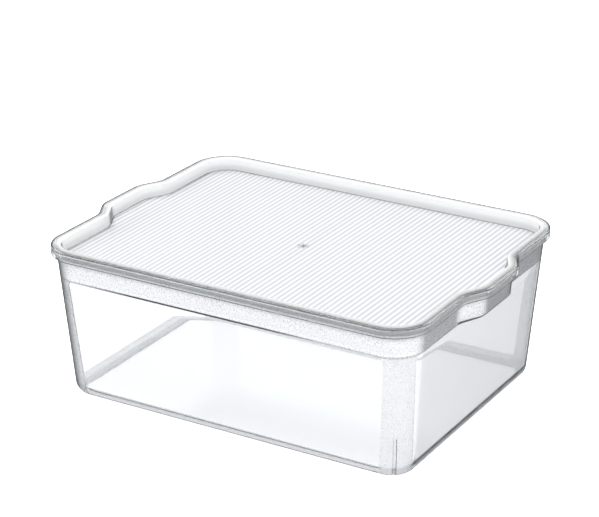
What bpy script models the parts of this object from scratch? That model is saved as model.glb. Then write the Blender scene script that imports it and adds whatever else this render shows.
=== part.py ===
"""Lidded fridge bin: a clear moulded bin and its lift-off, recessed stacking lid.

Metres, +Z up. The origin is the centre of the base, on the surface the bin stands on.
+X runs along the length towards one carrying lip, +Y across the width.
"""
import bpy
import bmesh
from math import cos, pi, sin

MM = 0.001

# ---- driving dimensions (millimetres) -------------------------------------------------
RIM_HALF_X = 160.0            # lid rim, outside, without the carrying lips
RIM_HALF_Y = 126.5
RIM_CORNER = 30.0
RIM_TOP = 124.3
RIM_BOTTOM = 116.8
LIP_REACH = 10.5              # how far each carrying lip stands out of the short side
LIP_HALF_OUTER = 24.0         # half width of a lip's straight front, at the rim
LIP_HALF_ROOT = 44.0          # half width of a lip where its slopes meet the side
LIP_ROUNDING = 5.0            # length of each slope end taken up by its rounding

BASE_HALF_X = 147.2           # bin wall, outside, carried down to the base plane
BASE_HALF_Y = 111.3
DRAFT_X = 0.0713              # how far each wall leans out per millimetre of height
DRAFT_Y = 0.0926
BASE_CORNER = 20.0
CORNER_GROWTH = 0.045         # corner radius gained per millimetre of height
FOOT_RADIUS = 8.0             # rounding between wall and base, outside and inside

FLOOR_THICK = 2.5
WALL_THICK = 2.5              # below the ledge
BAND_THICK = 2.0              # above it, where the lid's skirt plugs in
LEDGE_Z = 99.8
LEDGE_REACH = 0.6               # how far the ledge stands in from the wall below it
LEDGE_DROP = 8.0                # height over which the ledge runs out into the wall
LEDGE_STEPS = 5
LIP_FLOOR_Z = 99.6            # underside of the bin's carrying lip
BIN_TOP = 121.9
BEAD_OUT = 1.2                # stiffening bead round the bin's mouth
BEAD_LOW = 117.6

FIT_GAP = 0.35                # between the lid's skirt and the bin wall
ROOF_GAP = 0.4                # between the bin's mouth and the roof of the lid's channel
SKIRT_THICK = 2.0
SKIRT_BOTTOM = 102.3
FLANGE_THICK = 2.0
PANEL_TOP = 114.0             # between the ribs
PANEL_THICK = 2.0
EDGE_ROUND = 1.0

RIB_PITCH = 4.4
RIB_COUNT = 67
RIB_HEIGHT = 0.15
RIB_BASE = 2.6                # width of a rib at the panel
RIB_CREST = 1.0
RIB_SINK = 0.8                # how deep the ribs' common slab is buried in the panel
RIB_END_GAP = 1.2             # ribs stop this far short of the recess wall

CORNER_STEPS = 8
ROUND_STEPS = 3
ARC_STEPS = 4


def clear_scene():
    """Start from an empty scene."""
    for obj in list(bpy.data.objects):
        bpy.data.objects.remove(obj, do_unlink=True)


def collection(name):
    """A fresh collection linked to the scene."""
    made = bpy.data.collections.new(name)
    bpy.context.scene.collection.children.link(made)
    return made


def plastic(name, colour, roughness):
    """Clear moulded plastic with its own tint."""
    mat = bpy.data.materials.new(name)
    mat.use_nodes = True
    shader = mat.node_tree.nodes["Principled BSDF"]
    shader.inputs["Base Color"].default_value = (*colour, 1.0)
    shader.inputs["Roughness"].default_value = roughness
    shader.inputs["Metallic"].default_value = 0.0
    shader.inputs["Transmission Weight"].default_value = 1.0
    shader.inputs["IOR"].default_value = 1.57
    return mat


def rounded_bend(before, bend, after, reach):
    """Points of a parabola that rounds a bend, starting and ending `reach` from it."""
    def towards(end):
        length = ((end[0] - bend[0]) ** 2 + (end[1] - bend[1]) ** 2) ** 0.5
        return tuple(b + (e - b) * reach / length for b, e in zip(bend, end))
    start = towards(before)
    stop = towards(after)
    points = []
    for step in range(ROUND_STEPS + 1):
        s = step / ROUND_STEPS
        weights = ((1 - s) ** 2, 2 * s * (1 - s), s ** 2)
        points.append(tuple(
            weights[0] * a + weights[1] * b + weights[2] * c
            for a, b, c in zip(start, bend, stop)))
    return points


def outline(half_x, half_y, corner, lip, lip_outer, lip_root):
    """Closed outline: a rounded rectangle with a trapezoidal lip on each short side.

    The +X +Y quarter is worked out and mirrored, so that every outline has the same
    number of points and any two of them can be joined point to point.
    """
    front = (half_x + lip, 0.0)
    shoulder = (half_x + lip, lip_outer)
    root = (half_x, lip_root)
    tangent = (half_x, half_y - corner)
    quarter = rounded_bend(front, shoulder, root, LIP_ROUNDING)
    quarter += rounded_bend(shoulder, root, tangent, LIP_ROUNDING)
    for step in range(CORNER_STEPS + 1):
        turn = pi / 2 * step / CORNER_STEPS
        quarter.append((half_x - corner + corner * cos(turn),
                        half_y - corner + corner * sin(turn)))
    top = quarter + [(-x, y) for x, y in reversed(quarter)]
    return top + [(-x, -y) for x, y in top]


# An outline set in by t keeps parallel to its neighbours, slopes included.
SLOPE_RUN = LIP_HALF_ROOT - LIP_HALF_OUTER
SLOPE_LENGTH = (SLOPE_RUN ** 2 + LIP_REACH ** 2) ** 0.5
SLOPE_SHIFT = (1 - SLOPE_RUN / SLOPE_LENGTH) / (LIP_REACH / SLOPE_LENGTH)


def rim_ring(inset, z):
    """Ring parallel to the lid's outer rim face, set in by `inset`."""
    points = outline(RIM_HALF_X - inset, RIM_HALF_Y - inset, RIM_CORNER - inset, LIP_REACH,
                     LIP_HALF_OUTER - SLOPE_SHIFT * inset, LIP_HALF_ROOT - SLOPE_SHIFT * inset)
    return [(x, y, z) for x, y in points]


WALL_FROM_RIM = RIM_HALF_X - (BASE_HALF_X + DRAFT_X * RIM_TOP)


def wall_ring(inset, z, lip=LIP_REACH, height=None):
    """Ring parallel to the leaning bin wall at a height, set in by `inset`.

    `height` is where the wall is read, when it isn't the ring's own z.
    """
    read = z if height is None else height
    half_x = BASE_HALF_X + DRAFT_X * read - inset
    half_y = BASE_HALF_Y + DRAFT_Y * read - inset
    corner = max(BASE_CORNER + CORNER_GROWTH * read - inset, 3.0)
    shift = SLOPE_SHIFT * (inset + WALL_FROM_RIM)
    points = outline(half_x, half_y, corner, lip, LIP_HALF_OUTER - shift, LIP_HALF_ROOT - shift)
    return [(x, y, z) for x, y in points]


def loft(name, rings, mat, home):
    """Closed solid skinned over a run of rings, with a flat cap on the first and the last."""
    mesh = bpy.data.meshes.new(name)
    bm = bmesh.new()
    loops = [[bm.verts.new([value * MM for value in point]) for point in ring] for ring in rings]
    count = len(loops[0])
    for lower, upper in zip(loops, loops[1:]):
        for i in range(count):
            j = (i + 1) % count
            bm.faces.new((lower[i], lower[j], upper[j], upper[i]))
    bm.faces.new(list(reversed(loops[0])))
    bm.faces.new(loops[-1])
    bmesh.ops.recalc_face_normals(bm, faces=bm.faces[:])
    bm.to_mesh(mesh)
    bm.free()
    obj = bpy.data.objects.new(name, mesh)
    home.objects.link(obj)
    obj.data.materials.append(mat)
    return obj


def foot_arc(radius, base_z):
    """Inset and height along the rounding from the floor up into the wall."""
    for step in range(ARC_STEPS + 1):
        turn = pi / 2 * step / ARC_STEPS
        yield radius * (1 - sin(turn)), base_z + radius * (1 - cos(turn))


def make_bin(mat, home):
    """The bin: one moulded shell with leaning walls, an inner ledge and two carrying lips."""
    lip_floor_top = LIP_FLOOR_Z + BAND_THICK
    rings = []
    for inset, z in foot_arc(FOOT_RADIUS, 0.0):
        rings.append(wall_ring(inset, z, lip=0.0))
    rings.append(wall_ring(0.0, LIP_FLOOR_Z, lip=0.0))
    rings.append(wall_ring(0.0, LIP_FLOOR_Z + 0.2, lip=LIP_REACH - 1.8))
    rings.append(wall_ring(0.0, LIP_FLOOR_Z + 0.7, lip=LIP_REACH - 0.6))
    rings.append(wall_ring(0.0, LIP_FLOOR_Z + 2.0))
    rings.append(wall_ring(0.0, BEAD_LOW))
    rings.append(wall_ring(-BEAD_OUT, BEAD_LOW + 1.2))
    rings.append(wall_ring(-BEAD_OUT, BIN_TOP - 1.0))
    rings.append(wall_ring(-BEAD_OUT + 0.8, BIN_TOP))
    rings.append(wall_ring(BAND_THICK - 0.5, BIN_TOP))
    rings.append(wall_ring(BAND_THICK, BIN_TOP - 0.5))
    rings.append(wall_ring(BAND_THICK, lip_floor_top + 0.4))
    rings.append(wall_ring(BAND_THICK, lip_floor_top, lip=LIP_REACH - 0.8))
    rings.append(wall_ring(BAND_THICK, lip_floor_top - 0.2, lip=0.0))
    rings.append(wall_ring(BAND_THICK, LEDGE_Z + 0.3, lip=0.0))
    for step in range(LEDGE_STEPS + 1):
        down = step / LEDGE_STEPS
        rings.append(wall_ring(WALL_THICK + LEDGE_REACH * (1 - down) ** 2,
                               LEDGE_Z - 0.3 - LEDGE_DROP * down, lip=0.0))
    for inset, z in reversed(list(foot_arc(FOOT_RADIUS, FLOOR_THICK))):
        rings.append(wall_ring(WALL_THICK + inset, z, lip=0.0))
    return loft("bin", rings, mat, home)


def make_lid(mat, home, cutters):
    """The lid: a channel rim over the bin's mouth, a plug skirt and a recessed ribbed panel."""
    skirt_outer = BAND_THICK + FIT_GAP
    skirt_inner = skirt_outer + SKIRT_THICK
    panel_bottom = PANEL_TOP - PANEL_THICK
    roof = BIN_TOP + ROOF_GAP
    recess_mouth = skirt_inner - EDGE_ROUND
    rings = [
        wall_ring(skirt_inner + 1.0, panel_bottom),
        wall_ring(skirt_inner, panel_bottom - 1.0),
        wall_ring(skirt_inner, SKIRT_BOTTOM + 0.5),
        wall_ring(skirt_inner - 0.5, SKIRT_BOTTOM),
        wall_ring(skirt_outer + 0.5, SKIRT_BOTTOM),
        wall_ring(skirt_outer, SKIRT_BOTTOM + 0.5),
        wall_ring(skirt_outer, roof - 0.2),
        wall_ring(skirt_outer - 0.2, roof),
        rim_ring(FLANGE_THICK + 0.4, roof),
        rim_ring(FLANGE_THICK, roof - 0.4),
        rim_ring(FLANGE_THICK, RIM_BOTTOM + 0.3),
        rim_ring(FLANGE_THICK - 0.3, RIM_BOTTOM),
        rim_ring(0.4, RIM_BOTTOM),
        rim_ring(0.0, RIM_BOTTOM + 0.4),
        rim_ring(0.0, RIM_TOP - EDGE_ROUND),
        rim_ring(EDGE_ROUND * 0.3, RIM_TOP - EDGE_ROUND * 0.3),
        rim_ring(EDGE_ROUND, RIM_TOP),
        wall_ring(recess_mouth, RIM_TOP),
        wall_ring(skirt_inner - EDGE_ROUND * 0.3, RIM_TOP - EDGE_ROUND * 0.3),
        wall_ring(skirt_inner, RIM_TOP - EDGE_ROUND),
        wall_ring(skirt_inner, PANEL_TOP + 1.0),
        wall_ring(skirt_inner + 0.3, PANEL_TOP + 0.3),
        wall_ring(skirt_inner + 1.0, PANEL_TOP),
    ]
    lid = loft("lid", rings, mat, home)
    ribs = make_ribs(skirt_inner + RIB_END_GAP, mat, cutters)
    join = lid.modifiers.new("ribs", "BOOLEAN")
    join.operation = "UNION"
    join.solver = "EXACT"
    join.object = ribs
    return lid


def make_ribs(inset, mat, cutters):
    """Ribs across the panel: one ridged slab, trimmed to the recess outline."""
    section = [(-RIB_PITCH * RIB_COUNT / 2, -RIB_SINK)]
    for number in range(RIB_COUNT):
        centre = RIB_PITCH * (number - (RIB_COUNT - 1) / 2)
        section += [(centre - RIB_PITCH / 2, -RIB_SINK / 2), (centre - RIB_BASE / 2, -RIB_SINK / 2),
                    (centre - RIB_CREST / 2, RIB_HEIGHT), (centre + RIB_CREST / 2, RIB_HEIGHT),
                    (centre + RIB_BASE / 2, -RIB_SINK / 2)]
    section += [(RIB_PITCH * RIB_COUNT / 2, -RIB_SINK / 2), (RIB_PITCH * RIB_COUNT / 2, -RIB_SINK)]
    reach = RIM_HALF_Y
    rings = [[(x, y, PANEL_TOP + z) for x, z in section] for y in (-reach, reach)]
    ribs = loft("rib_slab", rings, mat, cutters)
    trim = loft("rib_trim", [wall_ring(inset, PANEL_TOP + z, height=PANEL_TOP) for z in (-2, 2)],
                mat, cutters)
    cut = ribs.modifiers.new("trim", "BOOLEAN")
    cut.operation = "INTERSECT"
    cut.solver = "EXACT"
    cut.object = trim
    for cutter in (ribs, trim):
        cutter.hide_render = True
        cutter.display_type = "WIRE"
    return ribs


def shade(obj):
    """Smooth across the roundings, sharp at real edges."""
    obj.data.shade_smooth()
    obj.data.set_sharp_from_angle(angle=pi / 5)


def main():
    clear_scene()
    home = collection("fridge_bin")
    cutters = collection("cutters")
    clear = plastic("clear_styrene", (0.93, 0.95, 0.97), 0.05)
    lid_clear = plastic("clear_styrene_lid", (0.90, 0.93, 0.96), 0.08)
    shell = make_bin(clear, home)
    lid = make_lid(lid_clear, home, cutters)
    for obj in (shell, lid):
        shade(obj)


main()
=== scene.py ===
"""Clear fridge bin with a ribbed lift-off lid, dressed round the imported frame."""

from math import cos, pi, radians, sin

import bpy
import numpy as np
from bpy.props import FloatProperty, FloatVectorProperty, PointerProperty
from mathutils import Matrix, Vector


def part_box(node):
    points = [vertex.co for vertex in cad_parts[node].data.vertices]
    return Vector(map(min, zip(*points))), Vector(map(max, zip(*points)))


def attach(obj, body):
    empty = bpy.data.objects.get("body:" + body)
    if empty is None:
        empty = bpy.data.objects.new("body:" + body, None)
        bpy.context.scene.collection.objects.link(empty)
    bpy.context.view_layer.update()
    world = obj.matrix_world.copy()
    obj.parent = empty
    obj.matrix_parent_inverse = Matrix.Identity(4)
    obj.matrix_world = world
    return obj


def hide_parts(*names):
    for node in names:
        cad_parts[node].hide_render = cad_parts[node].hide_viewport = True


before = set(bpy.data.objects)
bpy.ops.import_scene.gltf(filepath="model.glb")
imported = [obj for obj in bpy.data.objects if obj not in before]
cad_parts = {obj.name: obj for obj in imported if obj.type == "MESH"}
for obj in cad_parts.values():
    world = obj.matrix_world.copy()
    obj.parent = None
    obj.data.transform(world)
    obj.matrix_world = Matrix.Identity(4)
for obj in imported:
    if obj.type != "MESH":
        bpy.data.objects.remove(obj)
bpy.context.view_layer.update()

bl_info = {
    "name": "Lidded fridge bin",
    "version": (1, 0, 0),
    "blender": (4, 5, 0),
    "location": "View3D > Sidebar > Fridge bin",
    "description": "Builds the clear moulded bin, its ribbed lid and a pale studio round them",
    "category": "Object",
}

MM = 0.001
SAME = 1e-8    # lengths in metres that differ by less are one and the same
BIN_LOW, BIN_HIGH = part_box("bin")
LID_LOW, LID_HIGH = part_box("lid")

# small details of the bin
LEAST_CORNER = 3 * MM    # no ring's corner is tighter than this
FLAT_RING = 1.0 * MM     # ring inside a fillet that keeps the wide face beyond it level in shading
PANE_ROWS = ((14, 10), (31, 5), (35, 11), (92, 15))    # height in mm, and rings up to it
LIP_UNDER = 2.4 * MM     # rounding under a carrying lip, outside
LIP_BED = 1.2 * MM       # rounding at the bottom of a carrying lip, inside
LIP_GAP = 0.2 * MM       # how far a ring without lips lies from the lips' rounding
BEAD_RISE = 1.4 * MM     # height over which the bead swells out of the band
MOUTH_OUT = 0.9 * MM     # rounding of the mouth's outer edge
MOUTH_IN = 0.6 * MM      # rounding of the mouth's inner edge
LEDGE_HALF = 0.3 * MM    # half the height of the ledge's nose
SLOT_EDGE = 0.4 * MM     # width of the bevel round the slot

# small details of the lid
NEAR = 0.1 * MM          # how close to a rounding the next ring lies
SKIRT_ROUND = 0.7 * MM   # rounding of the skirt's foot
FLANGE_ROUND = 0.6 * MM  # rounding of the flange's foot and of the channel's outer corner
ROOF_ROUND = 0.4 * MM    # rounding of the channel's inner corner
UNDER_ROUND = 1.2 * MM   # rounding between the panel's underside and the skirt
RECESS_ROUND = 1.0 * MM  # rounding between the panel and the recess wall
FAN_END = 1.5 * MM       # how far inside the panel's edge its columns end
GATE_DIMPLE = 0.30 * MM  # depth of the gate's dimple
GATE_NUB = 0.75 * MM     # height of the gate's nub above the dimple's bottom
GATE_PATCH = 1.6         # half side of the fine patch round the gate, in gate radii

# how the plastic is drawn
SAN_IOR = 1.57           # styrene acrylonitrile
SAN_DENSITY = 24.0       # absorption along one metre of it
PANE_TURN = 0.48         # facing value, 0 head on and 1 edge on, where painted edge shade begins on a pane
ETCH_TURN = 0.32         # the same for the etched border
LID_TURN = 0.64          # the same for the lid
FULL_TURN = 0.9          # facing value where the painted edge shade is complete
FLOOR_MATT = 0.13        # roughness of the base's faces
BAND_MILK = 0.75         # how much of the light the etched band scatters
STRIP_MILK = 0.18        # how much of it the etched strips below the band scatter
FOOT_VEIL = 0.28         # how much of it the rounding at the base scatters, and how far it is tinted to painted grey shade
HAZE_SEE = 0.24          # how much light goes straight through the panel and the recess wall
HAZE_BLUR = 0.28         # roughness of the panel and the recess wall
SKIRT_FOOT_SHADE = 0.8   # strength of the painted shade line at the skirt's foot
SKIRT_SHADE = 0.14       # strength of the same painted shade over the rest of the skirt
GATE_SHADE = 0.6         # strength of the dark star at the gate

CAMERA_TARGET = (-0.05015, 0.07988, 0.065)
LIGHT_TARGET = (0, 0, 0.06)


# ---- colours and nodes ------------------------------------------------------------------
def linear(code):
    """Turn an sRGB hex colour into linear red, green and blue."""
    parts = [int(code[i:i + 2], 16) / 255 for i in (0, 2, 4)]
    return tuple(c / 12.92 if c <= 0.04045 else ((c + 0.055) / 1.055) ** 2.4 for c in parts)


def add_node(tree, kind, inputs=None, **settings):
    """Add a node, give it its settings, and set or link its inputs by name or number."""
    node = tree.nodes.new(kind)
    for name, value in settings.items():
        setattr(node, name, value)
    for name, value in (inputs or {}).items():
        if isinstance(value, bpy.types.NodeSocket):
            tree.links.new(value, node.inputs[name])
        else:
            node.inputs[name].default_value = value
    return node


# ---- sizes and colours a user may change ------------------------------------------------
def length(name, text, millimetres):
    """A length property with its default given in millimetres."""
    return FloatProperty(name=name, description=text, default=millimetres * MM,
                         unit="LENGTH", subtype="DISTANCE", precision=5)


def colour(name, text, code):
    """A colour property with its default given as an sRGB hex value."""
    return FloatVectorProperty(name=name, description=text, default=linear(code),
                               subtype="COLOR", size=3, min=0.0, max=1.0)


class OutlineSizes(bpy.types.PropertyGroup):
    """The plan shape that the rim, the walls and the skirt share."""
    lip_reach: length("Lip reach", "How far a carrying lip stands out of its side", 10.5)
    lip_front: length("Lip front", "Half width of a lip's straight front, at the rim", 24.0)
    lip_root: length("Lip root", "Half width of a lip where its slopes meet the side", 44.0)
    lip_round: length("Lip rounding", "Length of a slope's end taken up by its rounding", 5.0)
    rim_corner: length("Rim corner", "Radius of the rim's corners, outside", 30.0)


class BinSizes(bpy.types.PropertyGroup):
    """The bin's walls, ledge, mouth and panes."""
    base_x: length("Base half length", "Outer wall carried down to the base plane, along X", 147.2)
    base_y: length("Base half width", "Outer wall carried down to the base plane, along Y", 111.3)
    draft_x: FloatProperty(name="Draft X", description="Lean of the short sides, run over rise",
                           default=0.0713)
    draft_y: FloatProperty(name="Draft Y", description="Lean of the long sides, run over rise",
                           default=0.0926)
    corner: length("Base corner", "Corner radius carried down to the base plane", 20.0)
    corner_growth: FloatProperty(name="Corner growth", default=0.045,
                                 description="Corner radius gained per unit of height")
    foot: length("Foot rounding", "Radius between wall and base, outside and inside", 8.0)
    floor: length("Floor", "Thickness of the base", 2.5)
    wall: length("Wall", "Wall thickness below the ledge", 2.5)
    band: length("Band", "Wall thickness above the ledge", 2.0)
    ledge: length("Ledge", "Height of the ledge inside the wall", 99.8)
    ledge_out: length("Ledge reach", "How far the ledge stands in from the wall below it", 0.6)
    ledge_drop: length("Ledge drop", "Height over which the ledge runs out into the wall", 8.0)
    lip_floor: length("Lip floor", "Height of the underside of the carrying lips", 99.6)
    bead: length("Bead", "How far the stiffening bead stands out of the mouth", 1.2)
    bead_low: length("Bead foot", "Height at which the bead begins", 117.6)
    pane_depth: length("Pane depth", "How far the polished panes sit below the etched border", 0.35)
    pane_top: length("Pane top", "Height of the panes' upper edge", 99.6)
    pane_foot: length("Pane foot", "Height of the panes' lower edge", 3.0)
    strip_long: length("Long strip", "Etched strip beside the panes of the long sides", 19.4)
    strip_short: length("Short strip", "Etched strip beside the panes of the short sides", 15.4)
    pane_corner: length("Pane corner", "Radius of the panes' corners", 3.5)
    pane_edge: length("Pane edge", "Width of the bevel round a pane", 0.5)
    slot_top: length("Slot top", "Height of the narrow slot in one corner", 34.0)
    slot_turn: FloatProperty(name="Slot turn", description="Where the slot lies round its corner",
                             default=radians(55.0), subtype="ANGLE")
    slot_width: length("Slot width", "Width of the narrow slot in one corner", 2.4)
    slot_depth: length("Slot depth", "Depth of the narrow slot in one corner", 1.1)


class LidSizes(bpy.types.PropertyGroup):
    """The lid's rim, skirt, recess and ribs."""
    gap: length("Fit gap", "Clearance between the skirt and the bin wall", 0.35)
    roof_gap: length("Roof gap", "Clearance over the bin's mouth", 0.4)
    skirt: length("Skirt", "Thickness of the skirt and the recess wall", 2.0)
    flange: length("Flange", "Thickness of the outer flange", 2.0)
    rim_low: length("Rim foot", "Height of the flange's lower edge", 116.8)
    edge: length("Edge rounding", "Radius of the rim's upper edges", 1.0)
    panel_top: length("Panel top", "Height of the panel between its ribs", 114.0)
    panel: length("Panel", "Thickness of the panel", 2.0)
    rib_pitch: length("Rib pitch", "Distance from rib to rib", 4.4)
    rib_height: length("Rib height", "Height of a rib above the panel", 0.12)
    rib_width: length("Rib width", "Width of a rib where it meets the panel", 2.0)
    gate: length("Gate", "Radius of the moulding gate's mark in the panel", 3.4)


class Finishes(bpy.types.PropertyGroup):
    """Tints of the plastic and of the studio, and the colours of the shade painted on the plastic.
    """
    bin_tint: colour("Bin tint", "Colour that light takes in the bin's plastic", "FBFCFD")
    lid_tint: colour("Lid tint", "Colour that light takes in the lid's plastic", "FDFEFE")
    depth: colour("Depth", "Colour that a long way through the plastic takes on", "A4ABB6")
    # painted shade: the lid's tint darkens to this where its surface turns away from the view
    edge: colour("Edge", "Colour of the plastic where it turns away", "767D88")
    grain: colour("Grain", "Colour of the etched border's darker specks", "DFE1E5")
    haze: colour("Haze", "Colour of the etched border's bloom", "F8F8F9")
    # painted shade: the stripes along the ribs are mixed to this grey
    rib: colour("Rib", "Colour of the ribs across the lid's panel", "CACED3")
    # painted shade: the dark lines on the bin and the lid, and the gate's star, are mixed to this
    line: colour("Line", "Colour of the ledge's shoulder inside the wall", "2E3138")
    # painted shade: the rounding at the base is tinted towards this grey, over its milky veil
    foot: colour("Foot", "Colour of the rounding between wall and base", "DADDE3")
    # painted shade: the bin's tint darkens to this where its upright faces turn away from the view
    turned_shade: colour("Turned", "Colour of the bin's corners where they turn away", "2A2F37")
    paper: colour("Paper", "Colour of the studio paper", "FAFAFA")


class Studio(bpy.types.PropertyGroup):
    """Camera and light."""
    azimuth: FloatProperty(name="Azimuth", description="Camera's turn round the bin",
                           default=radians(30.46), subtype="ANGLE")
    elevation: FloatProperty(name="Elevation", description="Camera's height above the horizon",
                             default=radians(22.3), subtype="ANGLE")
    distance: FloatProperty(name="Distance", description="From the camera to the point it looks at",
                            default=1.7155, unit="LENGTH")
    lens: FloatProperty(name="Lens", description="Focal length on a 36 mm sensor, in millimetres",
                        default=126.3)
    table: FloatProperty(name="Table", description="Brightness of the lit table under the paper",
                         default=0.85)
    through: FloatProperty(name="Through", default=1.3,
                           description="Brightness of table and tent seen through the plastic")
    room: FloatProperty(name="Room", default=0.2,
                        description="Brightness of the room that the plastic mirrors")


class BinSettings(bpy.types.PropertyGroup):
    """Everything the operators read."""
    plan: PointerProperty(type=OutlineSizes)
    bin: PointerProperty(type=BinSizes)
    lid: PointerProperty(type=LidSizes)
    finish: PointerProperty(type=Finishes)
    studio: PointerProperty(type=Studio)


# ---- the plan shape ---------------------------------------------------------------------
def smooth(value):
    """Cubic step that goes smoothly from 0 to 1 as the value does."""
    t = np.clip(value, 0.0, 1.0)
    return t * t * (3.0 - 2.0 * t)


class Plan:
    """Closed plan outline, read at fixed stations that every ring shares.

    A station is a stretch (0 lip front, 1 shoulder bend, 2 slope, 3 root bend, 4 side,
    5 corner arc, 6 long side) and a fraction along it. One quarter is worked out, from the
    middle of a lip to the middle of a long side, and mirrored twice, so that two rings of any
    size match point for point.
    """

    def __init__(self, sizes, stretches):
        self.sizes = sizes
        self.stretch = np.concatenate([np.full(len(f), k) for k, f in enumerate(stretches)])
        self.fraction = np.concatenate([np.asarray(f, float) for f in stretches])
        self.count = len(self.stretch)
        run = sizes.lip_root - sizes.lip_front
        slope = (run ** 2 + sizes.lip_reach ** 2) ** 0.5
        self.shift = (1 - run / slope) / (sizes.lip_reach / slope)

    def quarter(self, half_x, half_y, corner, lip, inset):
        """Points of one quarter. Bends are parabolas, the corner is a circular arc.

        `inset` is how far the ring lies inside the rim, which moves the lip's bends in by the
        amount that keeps its slopes parallel. All five are columns, one row for each ring.
        """
        s = self.sizes
        front_y = s.lip_front - self.shift * inset
        root_y = s.lip_root - self.shift * inset
        reach = s.lip_round
        across = root_y - front_y
        slope = np.sqrt(across ** 2 + lip ** 2)
        zero = 0.0 * half_x
        step_x, step_y = -lip / slope * reach, across / slope * reach
        out_x = half_x + lip
        keys = {
            0: ((out_x, zero), (out_x, front_y - reach)),
            1: ((out_x, front_y - reach), (out_x, front_y), (out_x + step_x, front_y + step_y)),
            2: ((out_x + step_x, front_y + step_y), (half_x - step_x, root_y - step_y)),
            3: ((half_x - step_x, root_y - step_y), (half_x, root_y), (half_x, root_y + reach)),
            4: ((half_x, root_y + reach), (half_x, half_y - corner)),
            6: ((half_x - corner, half_y), (zero, half_y)),
        }
        x = np.zeros((len(half_x), self.count))
        y = np.zeros((len(half_x), self.count))
        for stretch in range(7):
            here = self.stretch == stretch
            f = self.fraction[here][None, :]
            if stretch == 5:
                x[:, here] = half_x - corner + corner * np.cos(f * pi / 2)
                y[:, here] = half_y - corner + corner * np.sin(f * pi / 2)
            elif len(keys[stretch]) == 2:
                (ax, ay), (bx, by) = keys[stretch]
                x[:, here] = ax + (bx - ax) * f
                y[:, here] = ay + (by - ay) * f
            else:
                (ax, ay), (bx, by), (cx, cy) = keys[stretch]
                x[:, here] = (1 - f) ** 2 * ax + 2 * f * (1 - f) * bx + f ** 2 * cx
                y[:, here] = (1 - f) ** 2 * ay + 2 * f * (1 - f) * by + f ** 2 * cy
        return x, y

    def whole(self, x, y):
        """Mirror quarters across Y and then across X, anticlockwise from the +X lip's middle."""
        x = np.concatenate([x, -x[:, -2::-1]], axis=1)
        y = np.concatenate([y, y[:, -2::-1]], axis=1)
        return (np.concatenate([x, x[:, -2:0:-1]], axis=1),
                np.concatenate([y, -y[:, -2:0:-1]], axis=1))

    def index(self):
        """Ring positions of the quarter's stations in each quadrant: ++, -+, --, +-."""
        k = np.arange(self.count)
        half = 2 * (self.count - 1)
        return k, half - k, half + k, (2 * half - k) % (2 * half)


def steps(start, stop, count):
    """Evenly spaced fractions from start up to, but without, stop."""
    return np.linspace(start, stop, count, endpoint=False)


class Profile:
    """A run of rings, each read from the leaning wall or the rim and set in by an amount."""

    def __init__(self, settings):
        self.bin = settings.bin
        self.plan = settings.plan
        self.rows = []

    def wall(self, inset, z, lip=1.0):
        """Rings parallel to the leaning wall; `lip` is how much of the lip's reach they have."""
        b = self.bin
        inset, z, lip = np.broadcast_arrays(*(np.atleast_1d(v).astype(float)
                                              for v in (inset, z, lip)))
        half_x = b.base_x + b.draft_x * z - inset
        half_y = b.base_y + b.draft_y * z - inset
        corner = np.maximum(b.corner + b.corner_growth * z - inset, LEAST_CORNER)
        from_rim = LID_HIGH.x - self.plan.lip_reach - (b.base_x + b.draft_x * LID_HIGH.z)
        self.rows.append(np.stack([half_x, half_y, corner, lip * self.plan.lip_reach,
                                   inset + from_rim, z], axis=1))

    def rim(self, inset, z):
        """Rings parallel to the lid's outer face."""
        inset, z = np.broadcast_arrays(*(np.atleast_1d(v).astype(float) for v in (inset, z)))
        half_x = LID_HIGH.x - self.plan.lip_reach - inset
        self.rows.append(np.stack([half_x, LID_HIGH.y - inset, self.plan.rim_corner - inset,
                                   np.full_like(z, self.plan.lip_reach), inset, z], axis=1))

    def count(self):
        """How many rings there are so far."""
        return len(self.columns()[0])

    def columns(self):
        """The rings' measures as columns for Plan.quarter, and their heights.

        A ring that repeats the one before it is left out.
        """
        rows = np.concatenate(self.rows)
        moved = np.abs(np.diff(rows, axis=0)).max(axis=1) > SAME
        rows = rows[np.concatenate([[True], moved])]
        half_x, half_y, corner, lip, inset, z = (rows[:, k:k + 1] for k in range(6))
        return half_x, half_y, corner, lip, inset, z


def round_corner(profile_call, inset_a, z_a, inset_b, z_b, turn_first, count=5):
    """Add rings along a quarter ellipse between two (inset, height) points.

    turn_first "z" leaves the first point along z, "inset" leaves it along the inset.
    """
    t = np.linspace(0, pi / 2, count)
    if turn_first == "z":
        inset = inset_a + (inset_b - inset_a) * (1 - np.cos(t))
        z = z_a + (z_b - z_a) * np.sin(t)
    else:
        inset = inset_a + (inset_b - inset_a) * np.sin(t)
        z = z_a + (z_b - z_a) * (1 - np.cos(t))
    profile_call(inset, z)


def ring_faces(rings, count):
    """Quads between neighbouring rings, as an array of vertex numbers."""
    i = np.arange(count)
    j = (i + 1) % count
    lower = (np.arange(rings - 1) * count)[:, None]
    quads = np.stack([lower + i, lower + j, lower + count + j, lower + count + i], axis=-1)
    return quads.reshape(-1, 4)


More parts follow.
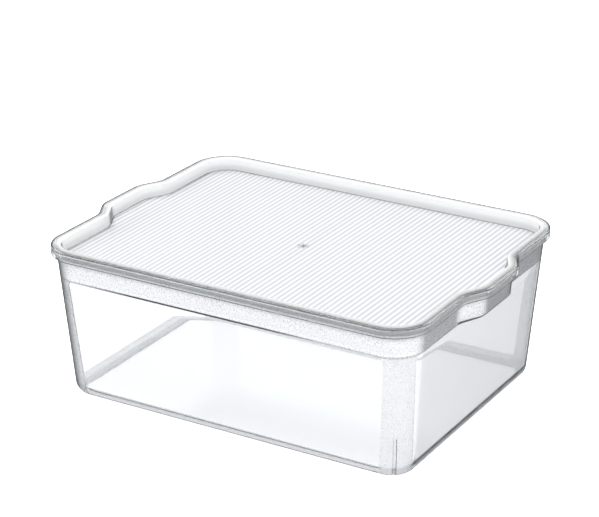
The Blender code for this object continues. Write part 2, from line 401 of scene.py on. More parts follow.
def build_mesh(name, points, quads, polygons, material, sharp=35.0):
    """Put arrays of points, quads and a few many-sided faces into a smooth-shaded object."""
    mesh = bpy.data.meshes.new(name)
    sizes = np.concatenate([np.full(len(quads), 4), [len(p) for p in polygons]]).astype(np.int32)
    corners = np.concatenate([quads.ravel(), *[np.asarray(p) for p in polygons]]).astype(np.int32)
    starts = np.concatenate([[0], np.cumsum(sizes)[:-1]]).astype(np.int32)
    mesh.vertices.add(len(points))
    mesh.vertices.foreach_set("co", points.astype(np.float32).ravel())
    mesh.loops.add(len(corners))
    mesh.loops.foreach_set("vertex_index", corners)
    mesh.polygons.add(len(sizes))
    mesh.polygons.foreach_set("loop_start", starts)
    mesh.update(calc_edges=True)
    mesh.validate()
    mesh.shade_smooth()
    mesh.set_sharp_from_angle(angle=radians(sharp))
    mesh.materials.append(material)
    piece = bpy.data.objects.new(name, mesh)
    bpy.context.scene.collection.objects.link(piece)
    return piece


def set_attribute(piece, name, values):
    """Store one number for each vertex under a name that the material reads."""
    layer = piece.data.attributes.new(name, "FLOAT", "POINT")
    layer.data.foreach_set("value", np.asarray(values, np.float32).ravel())


# ---- the bin ----------------------------------------------------------------------------
def bin_stations():
    """Fractions along each stretch, closer together where a pane's edge or the slot lies."""
    arc = np.concatenate([steps(0, 11, 4), steps(11, 27, 23), steps(27, 50, 7), steps(50, 60, 28),
                          steps(60, 74, 4), steps(74, 90, 19)]) / 90
    return [steps(0, 1, 5), steps(0, 1, 7), steps(0, 1, 6), steps(0, 1, 7), steps(0, 1, 9),
            arc, np.concatenate([steps(0, 0.05, 7), np.linspace(0.05, 1, 18)])]


def bin_profile(settings):
    """Rings up the outside, over the mouth, down the inside; also how many lie under the lips."""
    b = settings.bin
    rings = Profile(settings)
    turn = np.linspace(0, pi / 2, 15)
    rings.wall(b.foot + FLAT_RING, 0.0, lip=0.0)
    rings.wall(b.foot * (1 - np.sin(turn)), b.foot * (1 - np.cos(turn)), lip=0.0)
    low = b.foot
    for level, count in PANE_ROWS:
        rings.wall(0.0, np.linspace(low, level * MM, count)[1:], lip=0.0)
        low = level * MM
    rings.wall(0.0, np.linspace(low, b.lip_floor - LIP_GAP, 19)[1:], lip=0.0)
    swell = np.linspace(0, pi / 2, 9)
    reach = settings.plan.lip_reach
    rings.wall(0.0, b.lip_floor + LIP_UNDER * (1 - np.cos(swell)),
               lip=(reach - LIP_UNDER * (1 - np.sin(swell))) / reach)
    outer = rings.count()
    rings.wall(0.0, np.linspace(b.lip_floor + LIP_UNDER, b.bead_low, 8)[1:])
    top = BIN_HIGH.z
    t = np.linspace(0, 1, 8)[1:]
    rings.wall(-b.bead * smooth(t), b.bead_low + BEAD_RISE * t)
    rings.wall(-b.bead, np.linspace(b.bead_low + BEAD_RISE, top - MOUTH_OUT, 4)[1:])
    round_corner(rings.wall, -b.bead, top - MOUTH_OUT, -b.bead + MOUTH_OUT, top, "z", 6)
    round_corner(rings.wall, b.band - MOUTH_IN, top, b.band, top - MOUTH_IN, "inset", 5)
    floor_top = b.lip_floor + b.band
    rings.wall(b.band, np.linspace(top - MOUTH_IN, floor_top + LIP_BED, 6)[1:])
    rings.wall(b.band, floor_top + LIP_BED * (1 - np.sin(swell)),
               lip=(reach - LIP_BED * (1 - np.cos(swell))) / reach)
    rings.wall(b.band, floor_top - LIP_GAP, lip=0.0)
    rings.wall(b.band, b.ledge + 1.5 * LEDGE_HALF, lip=0.0)
    t = np.linspace(0, 1, 8)
    nose = b.wall + b.ledge_out
    rings.wall(b.band + (nose - b.band) * smooth(t), b.ledge + (1 - 2 * t) * LEDGE_HALF,
               lip=0.0)
    t = np.linspace(0, 1, 14)[1:]
    rings.wall(b.wall + b.ledge_out * (1 - t) ** 2, b.ledge - LEDGE_HALF - b.ledge_drop * t,
               lip=0.0)
    rings.wall(b.wall, np.linspace(b.ledge - 2 * LEDGE_HALF - b.ledge_drop, b.floor + b.foot, 10),
               lip=0.0)
    turn = np.linspace(pi / 2, 0, 15)[1:]
    rings.wall(b.wall + b.foot * (1 - np.sin(turn)), b.floor + b.foot * (1 - np.cos(turn)),
               lip=0.0)
    rings.wall(b.wall + b.foot + FLAT_RING, b.floor, lip=0.0)
    return rings, outer


def pane_cover(b, x, y, z, half_x, half_y, corner):
    """How much of each point lies in a pane, 0 to 1.

    The place along a wall is the distance from the wall's middle, carried on round the corner
    arc, and a pane is a rectangle with rounded corners in that distance and in height.
    """
    angle = np.arctan2(np.maximum(np.abs(y) - (half_y - corner), 0.0),
                       np.maximum(np.abs(x) - (half_x - corner), 1e-9))
    in_arc = (np.abs(x) > half_x - corner) & (np.abs(y) > half_y - corner)
    along_long = np.where(in_arc, half_x - corner + corner * (pi / 2 - angle), np.abs(x))
    along_short = np.where(in_arc, half_y - corner + corner * angle, np.abs(y))
    on_long = np.abs(y) > half_y - corner
    on_short = np.abs(x) > half_x - corner
    middle, half = (b.pane_top + b.pane_foot) / 2, (b.pane_top - b.pane_foot) / 2

    def cover(along, limit):
        r = b.pane_corner
        qx = along - (limit - r)
        qz = np.abs(z - middle) - (half - r)
        far = np.hypot(np.maximum(qx, 0), np.maximum(qz, 0))
        distance = far + np.minimum(np.maximum(qx, qz), 0) - r
        return smooth(0.5 - distance / b.pane_edge)

    long_pane = np.where(on_long, cover(along_long, half_x - b.strip_long), 0.0)
    short_pane = np.where(on_short, cover(along_short, half_y - b.strip_short), 0.0)
    return np.maximum(long_pane, short_pane)


def slot_cover(b, x, y, z, half_x, half_y, corner):
    """How much of each point lies in the narrow slot at the +X -Y corner, 0 to 1."""
    centre_x, centre_y = half_x - corner, -(half_y - corner)
    angle = np.arctan2(-(y - centre_y), x - centre_x)
    across = np.abs(angle - b.slot_turn) * corner
    radius = b.slot_width / 2
    above = np.maximum(z - (b.slot_top - radius), 0.0)
    distance = np.hypot(across, above) - radius
    in_arc = (x > centre_x) & (y < centre_y)
    return np.where(in_arc, smooth(0.5 - distance / SLOT_EDGE), 0.0)


def ledge_shade(settings, x, y, z, straight, outside):
    """Painted shade, 0 to 1: dark lines on the ledge's shoulder inside, on the panes' upper edge
    outside and along the lips' lower edges.

    On the long sides the shoulder line is darkest round a point 20 mm from the middle, towards -X,
    and fades towards both ends; on the short sides it is about half as dark.
    """
    b, plan = settings.bin, settings.plan
    level = z[:, 0]
    middle = 1.0 - 0.6 * smooth((np.abs(x + 20 * MM) - 50 * MM) / (70 * MM))
    strength = np.where(np.abs(y) > straight, middle, 0.45)
    on_ledge = ((~outside & (np.abs(level - b.ledge) < 1.3 * MM))
                | (outside & (np.abs(level - b.pane_top) < 0.9 * MM)))
    under_lip = outside & (level >= b.lip_floor) & (level < b.lip_floor + 2.0 * MM)
    lip = (np.abs(y) < plan.lip_root) & (np.abs(x) > np.abs(y))
    return np.where(under_lip[:, None] & lip, 0.9, np.where(on_ledge[:, None], strength, 0.0))


def make_bin(settings):
    """The bin's shell: rings of the plan outline carried along the wall's section.

    Outside, the polished panes and the slot are sunk along the wall's own direction by their
    cover, a smooth step of the distance to their outline. Three attributes go to the material:
    `etch` is 1 on the etched border, `shade` marks the dark lines of painted shade and `foot` the
    rounding between wall and base, outside, which is drawn milky and tinted grey as painted shade.
    """
    b = settings.bin
    plan = Plan(settings.plan, bin_stations())
    rings, outer = bin_profile(settings)
    half_x, half_y, corner, lip, inset, z = rings.columns()
    x, y = plan.whole(*plan.quarter(half_x, half_y, corner, lip, inset))
    height = np.broadcast_to(z, x.shape)
    pane = pane_cover(b, x[:outer], y[:outer], height[:outer], half_x[:outer], half_y[:outer],
                      corner[:outer])
    slot = slot_cover(b, x[:outer], y[:outer], height[:outer], half_x[:outer], half_y[:outer],
                      corner[:outer])
    sink = b.pane_depth * pane + b.slot_depth * slot
    away_x = np.sign(x[:outer]) * np.maximum(np.abs(x[:outer]) - (half_x - corner)[:outer], 0)
    away_y = np.sign(y[:outer]) * np.maximum(np.abs(y[:outer]) - (half_y - corner)[:outer], 0)
    away = np.maximum(np.hypot(away_x, away_y), 1e-9)
    x[:outer] -= sink * away_x / away
    y[:outer] -= sink * away_y / away
    points = np.stack([x, y, height], axis=-1).reshape(-1, 3)
    count = x.shape[1]
    quads = ring_faces(len(x), count)
    base = np.arange(count)[::-1]
    floor = np.arange(count) + (len(x) - 1) * count
    piece = build_mesh("bin_shell", points, quads, [base, floor],
                       clear_bin_plastic(settings.finish))
    level = z[:, 0]
    outside = np.arange(len(x)) <= np.argmax(level)
    etched = outside & (level > 0) & (level < b.bead_low + NEAR)
    etch = np.where(etched[:, None], 1.0, np.zeros(x.shape))
    etch[:outer] -= pane * etched[:outer, None]
    shade = ledge_shade(settings, x, y, z, half_y - corner, outside)
    bevel = 4 * slot * (1 - slot)    # 1 halfway down the slot's bevel
    # painted shade down the slot's bevel
    shade[:outer] = np.maximum(shade[:outer], 0.8 * bevel)
    set_attribute(piece, "shade", shade)
    # where the milky veil and the painted grey shade of the base's rounding lie
    fade = smooth((b.foot + FLAT_RING - level) / (2 * FLAT_RING))
    foot = np.where(outside & (level > 0), fade, 0.0)
    set_attribute(piece, "foot", np.repeat(foot, count))
    set_attribute(piece, "etch", etch)
    return piece


# ---- the lid ----------------------------------------------------------------------------
def lid_stations(settings):
    """Stations chosen so that the recess outline has a point on every column of the ribs."""
    b, lid = settings.bin, settings.lid
    inset = b.band + lid.gap + lid.skirt
    near_bend = 0.15 * MM
    flat_x = b.base_x - b.corner + (b.draft_x - b.corner_growth) * lid.panel_top
    radius = b.corner + b.corner_growth * lid.panel_top - inset - RECESS_ROUND
    ridge = np.linspace(-0.5, 0.5, 7) * lid.rib_width
    in_pitch = np.concatenate([ridge, [lid.rib_pitch / 2]])
    crests = lid.rib_pitch * np.arange(0, 40)
    columns = np.unique(np.abs((crests[:, None] + in_pitch).ravel()).round(7))
    along = columns[columns < flat_x - near_bend]
    long_side = 1 - along[::-1] / flat_x
    end_x = flat_x + radius * cos(radians(14))
    round_x = columns[(columns > flat_x + near_bend) & (columns < end_x)] - flat_x
    arc_columns = np.arccos(round_x[::-1] / radius) / (pi / 2)
    arc = np.concatenate([steps(0, arc_columns[0], 5), arc_columns])
    reach = settings.plan.lip_reach
    bend = 1.0 * MM
    in_slope = columns[(columns > flat_x + radius + bend)
                       & (columns < flat_x + radius + reach - bend)]
    slope = 1 - (in_slope[::-1] - flat_x - radius - bend) / (reach - 2 * bend)
    return [steps(0, 1, 5), steps(0, 1, 7), np.concatenate([[0.0], slope[slope > 0.02]]),
            steps(0, 1, 7), steps(0, 1, 6), arc, np.concatenate([[0.0], long_side])]


def lid_profile(settings):
    """Rings from the panel's underside, round the skirt, channel, rim and recess."""
    b, lid = settings.bin, settings.lid
    rings = Profile(settings)
    outer = b.band + lid.gap
    inner = outer + lid.skirt
    under = lid.panel_top - lid.panel
    low = LID_LOW.z
    roof = BIN_HIGH.z + lid.roof_gap
    top = LID_HIGH.z
    rings.wall(inner + UNDER_ROUND + FLAT_RING, under)
    round_corner(rings.wall, inner + UNDER_ROUND, under, inner, under - UNDER_ROUND, "inset", 6)
    rings.wall(inner, low + SKIRT_ROUND + NEAR)
    round_corner(rings.wall, inner, low + SKIRT_ROUND, inner - SKIRT_ROUND, low, "z", 5)
    round_corner(rings.wall, outer + SKIRT_ROUND, low, outer, low + SKIRT_ROUND, "inset", 5)
    rings.wall(outer, low + SKIRT_ROUND + NEAR)
    rings.wall(outer, roof - ROOF_ROUND - NEAR)
    round_corner(rings.wall, outer, roof - ROOF_ROUND, outer - ROOF_ROUND, roof, "z", 4)
    flange, foot = lid.flange, lid.rim_low
    round_corner(rings.rim, flange + FLANGE_ROUND, roof, flange, roof - FLANGE_ROUND, "inset", 4)
    rings.rim(flange, foot + FLANGE_ROUND + NEAR)
    round_corner(rings.rim, flange, foot + FLANGE_ROUND, flange - FLANGE_ROUND, foot, "z", 4)
    round_corner(rings.rim, FLANGE_ROUND, foot, 0.0, foot + FLANGE_ROUND, "inset", 5)
    rings.rim(0.0, top - lid.edge - NEAR)
    round_corner(rings.rim, 0.0, top - lid.edge, lid.edge, top, "z", 6)
    round_corner(rings.wall, inner - lid.edge, top, inner, top - lid.edge, "inset", 6)
    rings.wall(inner, top - lid.edge - NEAR)
    rings.wall(inner, lid.panel_top + RECESS_ROUND + NEAR)
    t = np.linspace(0, pi / 2, 6)
    rings.wall(inner + RECESS_ROUND * (1 - np.cos(t)),
               lid.panel_top + RECESS_ROUND * (1 - np.sin(t)))
    return rings


def rib_height(lid, x):
    """Height of the ribs at x: a smooth ridge round every whole number of pitches."""
    across = np.abs(x - lid.rib_pitch * np.round(x / lid.rib_pitch))
    return lid.rib_height * smooth(1 - across / (lid.rib_width / 2))


def gate_height(lid, x, y):
    """A shallow round dimple with a small raised nub, where the plastic entered the mould."""
    r = np.hypot(x, y) / lid.gate
    dimple = -GATE_DIMPLE * smooth(1.6 * (1 - r))
    nub = GATE_NUB * smooth(1 - r / 0.34)
    return dimple + nub


def make_lid(settings):
    """The lid: rings of the plan outline, closed by a flat underside and the ribbed panel.

    The panel is a fan of columns along Y, one for each edge of a rib, which end at the last
    ring; columns near the middle have a fine patch for the gate. Three attributes go to the
    material: `haze` is 1 on the panel and the recess wall, `rib` marks the painted shade along the
    ribs and `shade` the painted shade lines at the rim's and skirt's feet, a lighter painted shade
    over the skirt, and the gate's dark star.
    """
    lid = settings.lid
    plan = Plan(settings.plan, lid_stations(settings))
    half_x, half_y, corner, lip, inset, z = lid_profile(settings).columns()
    x, y = plan.whole(*plan.quarter(half_x, half_y, corner, lip, inset))
    height = np.broadcast_to(z, x.shape).copy()
    height[-1] += rib_height(lid, x[-1])
    height[-2] += 0.4 * rib_height(lid, x[-2])
    count = x.shape[1]
    points = np.stack([x, y, height], axis=-1).reshape(-1, 3)
    quads = [ring_faces(len(x), count)]
    polygons = [np.arange(count)[::-1]]
    last = (len(x) - 1) * count
    quadrants = [last + q for q in plan.index()]
    ring_x = x[-1]
    extra = []
    patch_half = GATE_PATCH * lid.gate
    grid_y = np.linspace(-patch_half, patch_half, 33)
    near = np.where(np.abs(ring_x[plan.index()[0]]) < patch_half)[0]
    column_points = {}
    next_index = len(points)

    def column(side, k):
        """Vertex numbers down one column, from +Y to -Y, on the +X (0) or -X (1) side."""
        nonlocal next_index
        top, bottom = (quadrants[0][k], quadrants[3][k]) if side == 0 else (
            quadrants[1][k], quadrants[2][k])
        key = (top, bottom)
        if key not in column_points:
            cx = points[top, 0]
            end = points[top, 1] - FAN_END
            cy = np.concatenate([[end], grid_y[::-1] if k in near else [], [-end]])
            cz = lid.panel_top + rib_height(lid, np.full_like(cy, cx)) + gate_height(lid, cx, cy)
            extra.append(np.stack([np.full_like(cy, cx), cy, cz], axis=-1))
            inner = list(range(next_index, next_index + len(cy)))
            next_index += len(cy)
            column_points[key] = [top] + inner + [bottom]
        return column_points[key]

    middle = plan.count - 1
    for side in (0, 1):
        k = middle
        while k > 0:
            here = column(side, k)
            x_next = abs(ring_x[plan.index()[0][k - 1]])
            run = [k - 1]
            while run[-1] > 0 and abs(abs(ring_x[run[-1] - 1]) - x_next) < 1e-7:
                run.append(run[-1] - 1)
            tops = (quadrants[0] if side == 0 else quadrants[1])[run]
            bottoms = (quadrants[3] if side == 0 else quadrants[2])[run]
            closing = [tops[-1]] if run[-1] == 0 else column(side, run[-1])
            there = list(tops[:-1]) + closing + list(bottoms[:-1][::-1])
            if len(here) == len(there):
                pair = np.array([here[:-1], here[1:], there[1:], there[:-1]]).T
                quads.append(pair if side == 0 else pair[:, ::-1])
            else:
                face = list(here[::-1]) + there
                polygons.append(np.array(face[::-1] if side == 0 else face))
            k = run[-1]
    points = np.concatenate([points, *extra])
    piece = build_mesh("lid_shell", points, np.concatenate(quads), polygons,
                       clear_lid_plastic(settings.finish), sharp=50.0)
    level = z[:, 0]
    recess = (np.arange(len(x)) > np.argmax(level)) & (level > lid.panel_top + RECESS_ROUND / 2)
    panel = np.arange(len(points)) >= (len(x) - 2) * count
    haze = np.zeros(len(points))
    haze[:x.size] = np.repeat(recess, count)
    haze[panel] = 1.0
    across = np.abs(points[:, 0] - lid.rib_pitch * np.round(points[:, 0] / lid.rib_pitch))
    # painted shade along the ribs
    rib_shade = smooth(1.6 - across / (lid.rib_width / 2))
    # painted shade lines at the flange's foot and the skirt's foot, and a lighter painted shade
    # over the skirt
    rim_foot = np.abs(level - lid.rim_low) < 0.75 * FLANGE_ROUND
    skirt_foot = level < LID_LOW.z + SKIRT_ROUND + NEAR / 2
    skirt = level < lid.rim_low - 1.0 * MM
    skirt_shade = np.where(skirt_foot, SKIRT_FOOT_SHADE, SKIRT_SHADE * skirt)
    hem_shade = np.zeros(len(points))
    hem_shade[:x.size] = np.repeat(np.where(rim_foot, 1.0, skirt_shade), count)
    rays = 0.75 + 0.25 * np.cos(6 * np.arctan2(points[:, 1], points[:, 0]))
    radius = np.hypot(points[:, 0], points[:, 1])
    mark = GATE_SHADE * smooth((2.2 * lid.gate * rays - radius) / (1.3 * lid.gate))
    set_attribute(piece, "haze", haze)
    set_attribute(piece, "rib", np.where(panel, rib_shade, 0.0))
    set_attribute(piece, "shade", np.where(panel, mark, hem_shade))
    return piece


# ---- materials --------------------------------------------------------------------------
def painted_edge_shade(tree, tint, edge_shade_colour, start, upright=False):
    """The plastic's tint, darkened where the surface turns away from the view: painted shade for
    the dark edges of clear plastic.

    With `upright`, only faces that stand up get the painted shade, so that the floor stays clear.
    """
    facing = add_node(tree, "ShaderNodeLayerWeight", {"Blend": 0.5}).outputs["Facing"]
    turn = add_node(tree, "ShaderNodeMapRange", {
        "Value": facing, "From Min": start, "From Max": FULL_TURN},
        interpolation_type="SMOOTHSTEP").outputs[0]
    if upright:
        normal = add_node(tree, "ShaderNodeNewGeometry").outputs["Normal"]
        rise = add_node(tree, "ShaderNodeSeparateXYZ", {0: normal}).outputs["Z"]
        lean = add_node(tree, "ShaderNodeMath", {0: rise}, operation="ABSOLUTE")
        stand = add_node(tree, "ShaderNodeMapRange", {
            "Value": lean.outputs[0], "From Min": 0.1, "From Max": 0.5, "To Min": 1.0,
            "To Max": 0.0}).outputs[0]
        turn = add_node(tree, "ShaderNodeMath", {0: turn, 1: stand},
                        operation="MULTIPLY").outputs[0]
    return add_node(tree, "ShaderNodeMix", {0: turn, 6: tint, 7: (*edge_shade_colour, 1.0)},
                    data_type="RGBA").outputs[2]


def clear_bin_plastic(finish):
    """Styrene acrylonitrile, injection moulded: polished panes in an etched border.

    The polished steel leaves the panes glass clear, and the etched steel leaves the border with
    a fine sparkle. Its noise repeats about every 1.1 mm, coarser than the real 0.1 mm grain, so
    that it shows. A slow ripple of 40 mm varies the gloss as the flow of the melt does.
    """
    mat = bpy.data.materials.new("clear_san_etched_border")
    mat.use_nodes = True
    tree = mat.node_tree
    tree.nodes.clear()
    place = add_node(tree, "ShaderNodeTexCoord").outputs["Object"]
    level = add_node(tree, "ShaderNodeSeparateXYZ", {0: place}).outputs["Z"]
    etch, foot, shade = (add_node(tree, "ShaderNodeAttribute", attribute_name=name).outputs["Fac"]
                         for name in ("etch", "foot", "shade"))
    grain = add_node(tree, "ShaderNodeTexNoise", {
        "Vector": place, "Scale": 1 / (1.1 * MM), "Detail": 3.0, "Roughness": 0.6}).outputs["Fac"]
    flow = add_node(tree, "ShaderNodeTexNoise", {
        "Vector": place, "Scale": 1 / (40 * MM), "Detail": 1.0}).outputs["Fac"]
    matt = add_node(tree, "ShaderNodeMapRange", {
        "Value": level, "From Min": 2.55 * MM, "From Max": 2.8 * MM, "To Min": FLOOR_MATT,
        "To Max": 0.0})
    spark = add_node(tree, "ShaderNodeMapRange", {
        "Value": grain, "From Min": 0.35, "From Max": 0.7, "To Min": 0.22, "To Max": 0.5})
    gloss = add_node(tree, "ShaderNodeMapRange", {"Value": flow, "To Min": 0.0, "To Max": 0.03})
    gloss = add_node(tree, "ShaderNodeMath", {0: gloss.outputs[0], 1: matt.outputs[0]},
                     operation="MAXIMUM")
    rough = add_node(tree, "ShaderNodeMix", {
        "Factor": etch, "A": gloss.outputs[0], "B": spark.outputs[0]}, data_type="FLOAT")
    milk = add_node(tree, "ShaderNodeMapRange", {
        "Value": level, "From Min": 99.2 * MM, "From Max": 99.8 * MM, "To Min": STRIP_MILK,
        "To Max": BAND_MILK})
    cloud = add_node(tree, "ShaderNodeMath", {0: milk.outputs[0], 1: etch}, operation="MULTIPLY")
    veil = add_node(tree, "ShaderNodeMath", {0: foot, 1: FOOT_VEIL}, operation="MULTIPLY")
    thick = add_node(tree, "ShaderNodeMath", {0: cloud.outputs[0], 1: veil.outputs[0]},
                     operation="MAXIMUM")
    see = add_node(tree, "ShaderNodeMath", {0: 1.0, 1: thick.outputs[0]}, operation="SUBTRACT")
    dust = add_node(tree, "ShaderNodeMapRange", {
        "Value": grain, "From Min": 0.42, "From Max": 0.62})
    bloom = add_node(tree, "ShaderNodeMix", {
        0: dust.outputs[0], 6: (*finish.grain, 1.0), 7: (*finish.haze, 1.0)}, data_type="RGBA")
    # painted edge shade on the panes and on the etched border, on upright faces only
    clear = painted_edge_shade(tree, (*finish.bin_tint, 1.0), finish.turned_shade, PANE_TURN, upright=True)
    milky = painted_edge_shade(tree, bloom.outputs[2], finish.turned_shade, ETCH_TURN, upright=True)
    tint = add_node(tree, "ShaderNodeMix", {0: etch, 6: clear, 7: milky}, data_type="RGBA")
    # the base's rounding tinted grey: painted shade
    tint = add_node(tree, "ShaderNodeMix", {
        0: veil.outputs[0], 6: tint.outputs[2], 7: (*finish.foot, 1.0)}, data_type="RGBA")
    # painted shade lines, from the `shade` attribute
    tint = add_node(tree, "ShaderNodeMix", {
        0: shade, 6: tint.outputs[2], 7: (*finish.line, 1.0)}, data_type="RGBA")
    relief = add_node(tree, "ShaderNodeMath", {0: grain, 1: etch}, operation="MULTIPLY")
    bump = add_node(tree, "ShaderNodeBump", {
        "Height": relief.outputs[0], "Strength": 0.4, "Distance": 0.3 * MM})
    shader = add_node(tree, "ShaderNodeBsdfPrincipled", {
        "Base Color": tint.outputs[2], "Roughness": rough.outputs[0], "IOR": SAN_IOR,
        "Transmission Weight": see.outputs[0], "Normal": bump.outputs["Normal"]})
    depth = add_node(tree, "ShaderNodeVolumeAbsorption", {
        "Color": (*finish.depth, 1.0), "Density": SAN_DENSITY})
    add_node(tree, "ShaderNodeOutputMaterial", {
        "Surface": shader.outputs[0], "Volume": depth.outputs[0]})
    return mat


def clear_lid_plastic(finish):
    """Styrene acrylonitrile, injection moulded and polished, with a gloss that varies slowly.

    Panel and recess wall have a light haze, as the ribbed steel leaves it, and the ribs a grey tint
    that is painted shade.
    """
    mat = bpy.data.materials.new("clear_san_polished")
    mat.use_nodes = True
    tree = mat.node_tree
    tree.nodes.clear()
    place = add_node(tree, "ShaderNodeTexCoord").outputs["Object"]
    haze, rib, shade = (add_node(tree, "ShaderNodeAttribute", attribute_name=name).outputs["Fac"]
                        for name in ("haze", "rib", "shade"))
    flow = add_node(tree, "ShaderNodeTexNoise", {
        "Vector": place, "Scale": 1 / (30 * MM), "Detail": 2.0}).outputs["Fac"]
    gloss = add_node(tree, "ShaderNodeMapRange", {"Value": flow, "To Min": 0.01, "To Max": 0.06})
    see = add_node(tree, "ShaderNodeMapRange", {"Value": haze, "To Min": 1.0, "To Max": HAZE_SEE})
    # painted edge shade over the whole lid
    tint = painted_edge_shade(tree, (*finish.lid_tint, 1.0), finish.edge, LID_TURN)
    # painted shade along the ribs
    ribbed = add_node(tree, "ShaderNodeMix", {
        0: rib, 6: tint, 7: (*finish.rib, 1.0)}, data_type="RGBA")
    # painted shade lines and the gate's star
    with_shade = add_node(tree, "ShaderNodeMix", {
        0: shade, 6: ribbed.outputs[2], 7: (*finish.line, 1.0)}, data_type="RGBA")
    blur = add_node(tree, "ShaderNodeMix", {
        "Factor": haze, "A": gloss.outputs[0], "B": HAZE_BLUR}, data_type="FLOAT")
    shader = add_node(tree, "ShaderNodeBsdfPrincipled", {
        "Base Color": with_shade.outputs[2], "Roughness": blur.outputs[0], "IOR": SAN_IOR,
        "Transmission Weight": see.outputs[0]})
    depth = add_node(tree, "ShaderNodeVolumeAbsorption", {
        "Color": (*finish.depth, 1.0), "Density": SAN_DENSITY})
    add_node(tree, "ShaderNodeOutputMaterial", {
        "Surface": shader.outputs[0], "Volume": depth.outputs[0]})
    return mat


def plastic_sees(tree, studio):
    """Brightness round the bin: high for light that comes through it, low for mirrored light.

    Also tells whether a ray comes straight from the camera. The bright and the dim level stand
    for a white tent close round the bin and a dim room beyond it, which give clear plastic its
    pale faces and dark edges from every side.
    """
    ray = add_node(tree, "ShaderNodeLightPath").outputs
    mirrored = add_node(tree, "ShaderNodeMath", {
        0: ray["Is Glossy Ray"], 1: ray["Is Reflection Ray"]}, operation="MULTIPLY").outputs[0]
    level = add_node(tree, "ShaderNodeMix", {
        "Factor": mirrored, "A": studio.through, "B": studio.room}, data_type="FLOAT").outputs[0]
    return level, ray["Is Camera Ray"]


def studio_paper(finish, studio):
    """Seamless matt paper on a table that is lit from below."""
    mat = bpy.data.materials.new("studio_paper")
    mat.use_nodes = True
    tree = mat.node_tree
    tree.nodes.clear()
    paper = add_node(tree, "ShaderNodeBsdfPrincipled", {
        "Base Color": (*finish.paper, 1.0), "Roughness": 0.9, "Specular IOR Level": 0.1,
        "Emission Color": (1, 1, 1, 1), "Emission Strength": studio.table})
    level, direct = plastic_sees(tree, studio)
    glow = add_node(tree, "ShaderNodeEmission", {"Color": (1, 1, 1, 1), "Strength": level})
    both = add_node(tree, "ShaderNodeMixShader", {
        0: direct, 1: glow.outputs[0], 2: paper.outputs[0]})
    add_node(tree, "ShaderNodeOutputMaterial", {"Surface": both.outputs[0]})
    return mat


# ---- the studio -------------------------------------------------------------------------
def make_world(studio):
    """The backdrop: plain white to the camera, and to the plastic what it sees or mirrors."""
    world = bpy.data.worlds.new("studio")
    bpy.context.scene.world = world
    world.use_nodes = True
    tree = world.node_tree
    tree.nodes.clear()
    level, direct = plastic_sees(tree, studio)
    surround = add_node(tree, "ShaderNodeBackground", {"Color": (1, 1, 1, 1), "Strength": level})
    backdrop = add_node(tree, "ShaderNodeBackground", {"Color": (1, 1, 1, 1), "Strength": 1.0})
    both = add_node(tree, "ShaderNodeMixShader", {
        0: direct, 1: surround.outputs[0], 2: backdrop.outputs[0]})
    add_node(tree, "ShaderNodeOutputWorld", {"Surface": both.outputs[0]})


def make_floor(settings):
    """A wide sheet of paper on the plane that the bin stands on."""
    reach = 6.0
    across = np.array([-reach, reach])
    gx, gy = np.meshgrid(across, across)
    points = np.stack([gx.ravel(), gy.ravel(), np.full(4, -0.2 * MM)], axis=-1)
    floor = build_mesh("floor", points, np.array([[0, 1, 3, 2]]), [],
                       studio_paper(settings.finish, settings.studio))


def add_softbox(name, place, target, size, power):
    """A square area light that faces a point and is not seen in reflections."""
    data = bpy.data.lights.new(name, "AREA")
    data.shape = "SQUARE"
    data.size = size
    data.energy = power
    lamp = bpy.data.objects.new(name, data)
    lamp.location = place
    lamp.visible_glossy = False
    way = Vector(target) - Vector(place)
    lamp.rotation_euler = way.to_track_quat("-Z", "Y").to_euler()
    bpy.context.scene.collection.objects.link(lamp)


def make_camera(studio):
    """The camera on its sphere round the point it looks at."""
    a, e = studio.azimuth, studio.elevation
    back = Vector((sin(a) * cos(e), -cos(a) * cos(e), sin(e)))
    target = Vector(CAMERA_TARGET)
    data = bpy.data.cameras.new("camera")
    data.sensor_width = 36.0
    data.lens = studio.lens
    camera = bpy.data.objects.new("camera", data)
    camera.location = target + back * studio.distance
    camera.rotation_euler = (-back).to_track_quat("-Z", "Y").to_euler()
    bpy.context.scene.collection.objects.link(camera)
    bpy.context.scene.camera = camera


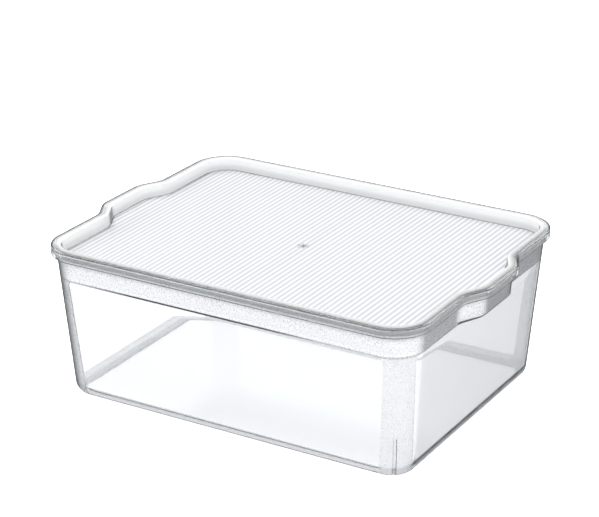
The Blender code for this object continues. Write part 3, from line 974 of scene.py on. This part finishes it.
# ---- operators and panel ----------------------------------------------------------------
class FRIDGEBIN_OT_bin(bpy.types.Operator):
    """Build the clear bin with its polished panes"""
    bl_idname = "fridgebin.bin"
    bl_label = "Bin"

    def execute(self, context):
        piece = make_bin(context.scene.fridge_bin)
        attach(piece, "bin")
        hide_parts("bin")
        return {"FINISHED"}


class FRIDGEBIN_OT_lid(bpy.types.Operator):
    """Build the lid with its rim, skirt and ribbed panel"""
    bl_idname = "fridgebin.lid"
    bl_label = "Lid"

    def execute(self, context):
        piece = make_lid(context.scene.fridge_bin)
        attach(piece, "lid")
        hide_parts("lid")
        return {"FINISHED"}


class FRIDGEBIN_OT_studio(bpy.types.Operator):
    """Set up the paper, the light and the camera"""
    bl_idname = "fridgebin.studio"
    bl_label = "Studio"

    def execute(self, context):
        settings = context.scene.fridge_bin
        scene = context.scene
        scene.view_settings.view_transform = "Standard"
        make_world(settings.studio)
        make_floor(settings)
        add_softbox("key_light", (-0.9, 0.6, 1.5), LIGHT_TARGET, 1.2, 10.0)
        add_softbox("fill_light", (1.3, -1.0, 0.9), LIGHT_TARGET, 1.0, 3.0)
        make_camera(settings.studio)
        return {"FINISHED"}


class FRIDGEBIN_PT_panel(bpy.types.Panel):
    """Sidebar panel with one button for each piece"""
    bl_idname = "FRIDGEBIN_PT_panel"
    bl_label = "Fridge bin"
    bl_space_type = "VIEW_3D"
    bl_region_type = "UI"
    bl_category = "Fridge bin"

    def draw(self, context):
        for operator in OPERATORS:
            self.layout.operator(operator.bl_idname)


OPERATORS = (FRIDGEBIN_OT_bin, FRIDGEBIN_OT_lid, FRIDGEBIN_OT_studio)
CLASSES = (OutlineSizes, BinSizes, LidSizes, Finishes, Studio, BinSettings, *OPERATORS,
           FRIDGEBIN_PT_panel)


def register():
    """Register the classes and hang the settings on the scene."""
    for cls in CLASSES:
        bpy.utils.register_class(cls)
    bpy.types.Scene.fridge_bin = PointerProperty(type=BinSettings)


def unregister():
    """Undo register."""
    del bpy.types.Scene.fridge_bin
    for cls in reversed(CLASSES):
        bpy.utils.unregister_class(cls)


def main():
    """Register the settings, then build every piece and the studio."""
    register()
    bpy.ops.fridgebin.bin()
    bpy.ops.fridgebin.lid()
    bpy.ops.fridgebin.studio()


if __name__ == "__main__":
    main()
